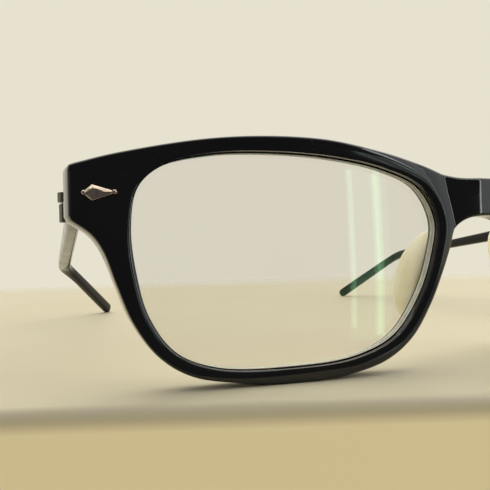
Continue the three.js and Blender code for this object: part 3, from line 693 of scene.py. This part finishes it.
for side, sign in (("left", 1), ("right", -1)):
    plaque = Body()

    def on_endpiece(points):
        """Points drawn flat about the middle of the plaque, in metres on the endpiece."""
        placed = []
        for x, y, z in points:
            p = plaque_turn @ Vector((x, y - plaque_seat, z))
            p += Vector((plaque_x, bend(plaque_x, plaque_z), plaque_z))
            placed.append((p.x * sign * mm, (front_face + p.y) * mm, p.z * mm))
        return plaque.add(placed)

    diamond = [(-long_point, 0), (widest, -0.5), (short_point, 0), (widest, 0.5)]
    rows = []
    for shrink, height in ((0.96, 0), (1, 0.05), (1, 0.17), (0.97, 0.21), (0.50, 0.60), (0.46, 0.62)):
        ring = []
        for k, (u, v) in enumerate(diamond):
            u2, v2 = diamond[(k + 1) % 4]
            for share in (0.04, 0.35, 0.65, 0.96):
                a, b = u + (u2 - u) * share, v + (v2 - v) * share
                along = (a * shrink + 0.02 * (1 - shrink)) * plaque_length
                ring.append((along, -height, b * shrink * plaque_height))
        rows.append(on_endpiece(ring))
    for a, b in zip(rows, rows[1:]):
        plaque.band(a, b)
    plaque.face(rows[0])
    plaque.face(rows[-1])
    for bead_x in (-0.58, 0.27):
        rings = []
        for tilt in np.linspace(0.25, math.pi - 0.25, 12):
            out, height = bead_radius * math.sin(tilt), bead_seat + bead_radius * math.cos(tilt)
            rings.append(on_endpiece([
                (bead_x * plaque_length + out * math.cos(a), -height, out * math.sin(a))
                for a in np.linspace(0, 2 * math.pi, 24, endpoint=False)
            ]))
        for a, b in zip(rings, rings[1:]):
            plaque.band(a, b)
        plaque.face(rings[0])
        plaque.face(rings[-1])
    for shank_x in (-shank_spread, shank_spread):
        rings = []
        shank = [
            (shank_radius - 0.04, -0.05), (shank_radius, 0.1), (shank_radius, shank_length),
            (shank_radius - 0.04, shank_length + 0.1), (0.2, shank_length + 0.18),
        ]
        for radius, depth in shank:
            rings.append(on_endpiece([
                (shank_x + radius * math.cos(a), plaque_seat + depth, radius * math.sin(a))
                for a in np.linspace(0, 2 * math.pi, 24, endpoint=False)
            ]))
        for a, b in zip(rings, rings[1:]):
            plaque.band(a, b)
        plaque.face(rings[0])
        plaque.face(rings[-1])
    plaque.finish(
        f"{side}_plaque_piece", "front", "chrome_trim", chrome, sharp=20, nodes=[f"{side}_rivet_plaque"]
    )

# ---- Hinges -------------------------------------------------------------------------------------------
# Three-knuckle barrel hinges of nickel silver with a dark plating that has worn bright on the rims of the
# knuckles. The leaves are riveted on; a slotted steel screw and a washer hold each pair together.

hinge_metal, shader, link = new_material("dark plated hinge", Metallic=1.0, Specular_Tint=(0.3, 0.29, 0.26, 1))
marks = place_group(hinge_metal, handling, Haze_Scale=420, Polished=0.18, Hazed=0.42, Scratches=1.0)
link(marks.outputs["Roughness"], shader.inputs["Roughness"])
n = hinge_metal.node_tree.nodes
geometry = n.new("ShaderNodeNewGeometry")
worn = n.new("ShaderNodeMapRange")
worn.inputs["From Min"].default_value = 0.5
worn.inputs["From Max"].default_value = 0.62
link(geometry.outputs["Pointiness"], worn.inputs["Value"])
plating = n.new("ShaderNodeMix")
plating.data_type = "RGBA"
plating.inputs[7].default_value = (0.26, 0.24, 0.2, 1)
link(worn.outputs["Result"], plating.inputs[0])
link(mottled(hinge_metal, 500, (0.035, 0.033, 0.028), (0.09, 0.085, 0.07)), plating.inputs[6])
link(plating.outputs[2], shader.inputs["Base Color"])
add_bump(hinge_metal, shader, marks.outputs["Height"], 0.00001)

steel, shader, link = new_material("turned steel", Metallic=1.0)
link(mottled(steel, 900, (0.5, 0.49, 0.47), (0.68, 0.67, 0.65)), shader.inputs["Base Color"])
marks = place_group(steel, handling, Haze_Scale=900, Polished=0.16, Hazed=0.34, Scratches=1.0)
link(marks.outputs["Roughness"], shader.inputs["Roughness"])
add_bump(steel, shader, marks.outputs["Height"], 0.00001)

finishes = {
    "front_hinge_leaf": hinge_metal, "temple_hinge_leaf": hinge_metal,
    "hinge_washer": steel, "hinge_screw": steel,
    "core_wire": steel, "temple_rivet_front": steel, "temple_rivet_rear": steel,
}
for side in ("left", "right"):
    for name, finish in finishes.items():
        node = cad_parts[f"{side}_{name}"]
        node.data.materials.clear()
        node.data.materials.append(finish)

# ---- Temples ------------------------------------------------------------------------------------------
# Slim bars of the same black acetate with a metal core. They run back from the hinge, swell slightly, and
# bend down and inwards to a tip that hooks behind the ear; every edge is rounded and polished.

screw_low, screw_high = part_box("left_hinge_screw")
axis_x, axis_y = (screw_low.x + screw_high.x) / 2 / mm, (screw_low.y + screw_high.y) / 2 / mm
hinge_bottom, lower_knuckle, middle_knuckle, washer, upper_knuckle, knuckle_gap = 26.6, 1.4, 1.4, 0.3, 1.5, 0.06
hinge_middle = hinge_bottom + (lower_knuckle + middle_knuckle + washer + upper_knuckle + 3 * knuckle_gap) / 2
bar_inset, bar_start, toe_in = 1.1, 1.9, 2
bend_depth, bend_height = 93, 18.2
tip_toe_in, tip_depth, tip_height = 16, 21.5, 0.66
temple_start = np.array([axis_x - bar_inset, axis_y + bar_start, hinge_middle])
temple_bend = np.array([axis_x - bar_inset - toe_in, axis_y + bend_depth, bend_height])
temple_tip = temple_bend + (-tip_toe_in, tip_depth, tip_height - bend_height)
bend_softness = 4.5
height_front, height_bend, height_tip = 4.8, 2.8, 3.3
thickness_front, thickness_bend, thickness_tip = 2.6, 3.6, 2.6
tip_rounding = 2.2

back_run = temple_bend - temple_start
back_run /= np.linalg.norm(back_run)
down_run = temple_tip - temple_bend
down_run /= np.linalg.norm(down_run)
bend_from, bend_to = temple_bend - back_run * bend_softness, temple_bend + down_run * bend_softness
s = np.linspace(0, 1, 41)[:, None]
bent_part = (1 - s) ** 2 * bend_from + 2 * s * (1 - s) * temple_bend + s**2 * bend_to
centre_line = np.vstack([temple_start, bent_part, temple_tip])
run = np.concatenate([[0], np.cumsum(np.linalg.norm(np.diff(centre_line, axis=0), axis=1))])
whole = run[-1]
bend_share = np.linalg.norm(temple_bend - temple_start) / whole


def ease(share, low, high):
    """A smooth step from 0 to 1 between two shares."""
    share = np.clip((share - low) / (high - low), 0, 1)
    return share * share * (3 - 2 * share)


def bar_size(distance):
    """Height and thickness of the bar at a distance from its front end."""
    at = distance / whole
    if at < bend_share:
        tall = height_front + (height_bend - height_front) * ease(at / bend_share, -0.25, 0.9)
        thick = thickness_front + (thickness_bend - thickness_front) * ease(at / bend_share, 0, 1)
    else:
        past = (at - bend_share) / (1 - bend_share)
        tall = height_bend + (height_tip - height_bend) * ease(past, 0, 0.8)
        thick = thickness_bend + (thickness_tip - thickness_bend) * ease(past, 0, 0.3)
    return tall, thick


def bar_section(tall, thick, offset, shrink):
    """A rounded section, 40 points, as (inwards, up)."""
    ring = []
    for a in np.linspace(0, 2 * math.pi, 40, endpoint=False):
        c, s = math.cos(a), math.sin(a)
        ring.append((
            math.copysign(abs(c) ** 0.55, c) * thick / 2 * shrink - offset,
            math.copysign(abs(s) ** 0.6, s) * tall / 2 * shrink,
        ))
    return ring


handled_acetate = black_acetate("handled acetate", 0.12, 0.26, 0.22)
stations = np.concatenate([
    [0, 0.08, 0.25, 0.6],
    np.linspace(2, run[1], 24),
    run[2:-1:2],
    np.linspace(run[-2], whole - tip_rounding, 14)[1:],
    whole - tip_rounding * (1 - np.sin(np.linspace(0.15, math.pi / 2, 12))),
])
for side, sign in (("left", 1), ("right", -1)):
    bar = Body()
    rows = []
    for distance in stations:
        centre = np.array([np.interp(distance, run, centre_line[:, k]) for k in range(3)])
        ahead = np.array([np.interp(min(distance + 0.5, whole), run, centre_line[:, k]) for k in range(3)])
        behind = np.array([np.interp(max(distance - 0.5, 0), run, centre_line[:, k]) for k in range(3)])
        forward = (ahead - behind) / np.linalg.norm(ahead - behind)
        inward = np.array([-forward[1], forward[0], 0]) / np.hypot(*forward[:2])
        up = np.cross(forward, inward)
        tall, thick = bar_size(distance)
        left = max(whole - distance, 0)
        shrink = 1.0
        if left < tip_rounding:
            shrink = 0.02 + 0.98 * math.sqrt(max(0, 1 - (1 - left / tip_rounding) ** 2))
        shrink *= 1 - 0.12 * (1 - min(distance / 0.25, 1)) ** 2
        outwards = (thick - thickness_front) / 2 * shrink
        ring = [centre + inward * a + up * b for a, b in bar_section(tall, thick, outwards, shrink)]
        rows.append(bar.add([(p[0] * sign * mm, p[1] * mm, p[2] * mm) for p in ring]))
    for a, b in zip(rows, rows[1:]):
        bar.band(a, b)
    bar.face(rows[0])
    bar.face(rows[-1])
    bar.finish(
        f"{side}_temple_piece", f"{side}_temple_arm", "black_acetate", handled_acetate,
        sharp=40, nodes=[f"{side}_temple"],
    )

# ---- Table, light and camera --------------------------------------------------------------------------
# A plain pale table top with a rounded front edge, which fades into a plain pale room behind. A broad soft
# light hangs over it; in front are two narrow upright lights with a faint glow round them, and to one side
# a bright window between dim walls.

yaw, pitch, roll = math.radians(21.4), math.radians(0.9), math.radians(-1.8)
forward = Vector((math.sin(yaw) * math.cos(pitch), math.cos(yaw) * math.cos(pitch), math.sin(pitch)))
level = Vector((math.cos(yaw), -math.sin(yaw), 0))
upright = level.cross(forward)
across = math.cos(roll) * level + math.sin(roll) * upright
above = math.cos(roll) * upright - math.sin(roll) * level
stand = Vector((-0.0741, (front_face - 69.7) * mm, 0.0207))

# The rounded front edge and front face of the table are a warmer colour and glow faintly, a painted glow that
# stands in for light falling on them; the far end fades into the room.
table_colour, shader, link = new_material("pale table", Roughness=0.55, Specular_IOR_Level=0.3)
n = table_colour.node_tree.nodes
where = n.new("ShaderNodeTexCoord")
split = n.new("ShaderNodeSeparateXYZ")
link(where.outputs["Object"], split.inputs["Vector"])
below = n.new("ShaderNodeMapRange")
below.inputs["From Min"].default_value = -0.0035
below.inputs["From Max"].default_value = -0.0005
link(split.outputs["Z"], below.inputs["Value"])
tone = n.new("ShaderNodeMix")
tone.data_type = "RGBA"
tone.inputs[6].default_value = (0.66, 0.55, 0.33, 1)
# Painted glow: the front face emits a little warm light of its own in place of light falling on it.
shader.inputs["Emission Color"].default_value = (0.62, 0.5, 0.26, 1)
painted_glow_strength = n.new("ShaderNodeMath")
painted_glow_strength.operation = "MULTIPLY_ADD"
painted_glow_strength.inputs[1].default_value = -0.72
painted_glow_strength.inputs[2].default_value = 0.72
link(below.outputs["Result"], painted_glow_strength.inputs[0])
link(painted_glow_strength.outputs[0], shader.inputs["Emission Strength"])
link(below.outputs["Result"], tone.inputs[0])
link(mottled(table_colour, 9, (0.63, 0.57, 0.41), (0.67, 0.61, 0.45)), tone.inputs[7])
link(tone.outputs[2], shader.inputs["Base Color"])
fade = n.new("ShaderNodeMapRange")
fade.interpolation_type = "SMOOTHSTEP"
fade.inputs["From Min"].default_value = 0.3
fade.inputs["From Max"].default_value = 0.42
link(split.outputs["Y"], fade.inputs["Value"])
gone = n.new("ShaderNodeBsdfTransparent")
fading = n.new("ShaderNodeMixShader")
link(fade.outputs["Result"], fading.inputs["Fac"])
link(shader.outputs["BSDF"], fading.inputs[1])
link(gone.outputs["BSDF"], fading.inputs[2])
link(fading.outputs["Shader"], n["Material Output"].inputs["Surface"])

top_board = Body()
edge_at, edge_round = 0.0714, 0.002
outline = [(edge_at, -0.3)]
outline += [
    (edge_at + edge_round * (1 - math.sin(a)), edge_round * (math.cos(a) - 1))
    for a in np.linspace(math.pi / 2, 0, 9)
]
outline += [(0.13, 0.0), (0.43, 0.0)]
rows = [top_board.add([(x, y, z) for x in np.linspace(-0.9, 0.9, 7)]) for y, z in outline]
for a, b in zip(rows, rows[1:]):
    top_board.band(a, b, closed=False)
mesh = bpy.data.meshes.new("table_top")
mesh.from_pydata(top_board.points, [], [tuple(map(int, f)) for f in top_board.faces])
mesh.polygons.foreach_set("use_smooth", [True] * len(mesh.polygons))
mesh.materials.append(table_colour)
table = bpy.data.objects.new("table_top", mesh)
table.location = (stand.x, stand.y, 0)
table.rotation_euler = (0, 0, -yaw)
bpy.context.scene.collection.objects.link(table)


def soft_light(name, place, aim, size, brightness, colour):
    """An even rectangle of light that can be seen in reflections but not directly."""
    data = bpy.data.lights.new(name, "AREA")
    data.shape = "RECTANGLE"
    data.size, data.size_y = size
    data.energy = brightness * math.pi * size[0] * size[1]
    data.color = colour
    lamp = bpy.data.objects.new(name, data)
    lamp.location = place
    lamp.rotation_euler = (Vector(aim) - Vector(place)).to_track_quat("-Z", "Y").to_euler()
    lamp.visible_camera = False
    bpy.context.scene.collection.objects.link(lamp)


nose = Vector((-0.02, -0.065, 0.02))
light_distance = 0.9


def in_front(turned, raised):
    """A place in front of the glasses, turned to the wearer's left and raised, in degrees."""
    t, e = math.radians(turned), math.radians(raised)
    return nose + light_distance * Vector((math.sin(t) * math.cos(e), -math.cos(t) * math.cos(e), math.sin(e)))


soft_light("ceiling panel", (0.1, 0.35, 0.9), (0.1, 0.35, 0), (1.8, 1.4), 1.14, (1, 0.98, 0.94))
soft_light("narrow light", in_front(20.3, 0.5), nose, (0.01, 0.4), 2.2, (0.84, 1, 0.88))
soft_light("wide light", in_front(25.6, 0), nose, (0.022, 0.42), 2.2, (0.84, 1, 0.88))
soft_light("curtain glow", in_front(23.6, 0), nose, (0.13, 0.44), 0.45, (0.84, 1, 0.88))
soft_light("window", in_front(40.5, 18), nose, (0.07, 0.8), 5, (0.97, 1, 1))
soft_light("bright wall", in_front(51, 18), nose, (0.24, 0.8), 1.0, (0.97, 1, 1))
soft_light("side wall", in_front(88, 10), nose, (0.95, 1.1), 0.6, (0.95, 0.98, 1))
soft_light("upper wall", in_front(62, 60), nose, (1.1, 0.5), 0.6, (0.95, 0.98, 1))

# The room: pale behind the glasses and dark in front of them, and plain and pale where seen directly.
world = bpy.data.worlds.new("room")
bpy.context.scene.world = world
world.use_nodes = True
n, link = world.node_tree.nodes, world.node_tree.links.new
where = n.new("ShaderNodeTexCoord")
facing = n.new("ShaderNodeVectorMath")
facing.operation = "DOT_PRODUCT"
facing.inputs[1].default_value = (0.1, 0.98, 0.18)
link(where.outputs["Generated"], facing.inputs[0])
share = n.new("ShaderNodeMapRange")
share.interpolation_type = "SMOOTHSTEP"
share.inputs["From Min"].default_value = -0.25
share.inputs["From Max"].default_value = 0.45
link(facing.outputs["Value"], share.inputs["Value"])
room = n.new("ShaderNodeMix")
room.data_type = "RGBA"
room.inputs[6].default_value = (0.1, 0.1, 0.1, 1)
room.inputs[7].default_value = (0.8, 0.76, 0.63, 1)
link(share.outputs["Result"], room.inputs[0])
path = n.new("ShaderNodeLightPath")
direct = n.new("ShaderNodeMath")
direct.operation = "MAXIMUM"
link(path.outputs["Is Camera Ray"], direct.inputs[0])
link(path.outputs["Is Transmission Ray"], direct.inputs[1])
seen = n.new("ShaderNodeMix")
seen.data_type = "RGBA"
seen.inputs[7].default_value = (0.8, 0.76, 0.63, 1)
link(direct.outputs[0], seen.inputs[0])
link(room.outputs[2], seen.inputs[6])
link(seen.outputs[2], n["Background"].inputs["Color"])

focal_share = 517 / 490  # focal length over sensor width
lens_of_camera = bpy.data.cameras.new("camera")
lens_of_camera.sensor_width = 36
lens_of_camera.lens = lens_of_camera.sensor_width * focal_share
lens_of_camera.clip_start = 0.005
camera = bpy.data.objects.new("camera", lens_of_camera)
camera.matrix_world = Matrix.Translation(stand) @ Matrix(
    [[across[k], above[k], -forward[k]] for k in range(3)]
).to_4x4()
bpy.context.scene.collection.objects.link(camera)
bpy.context.scene.camera = camera
bpy.context.scene.view_settings.view_transform = "Standard"
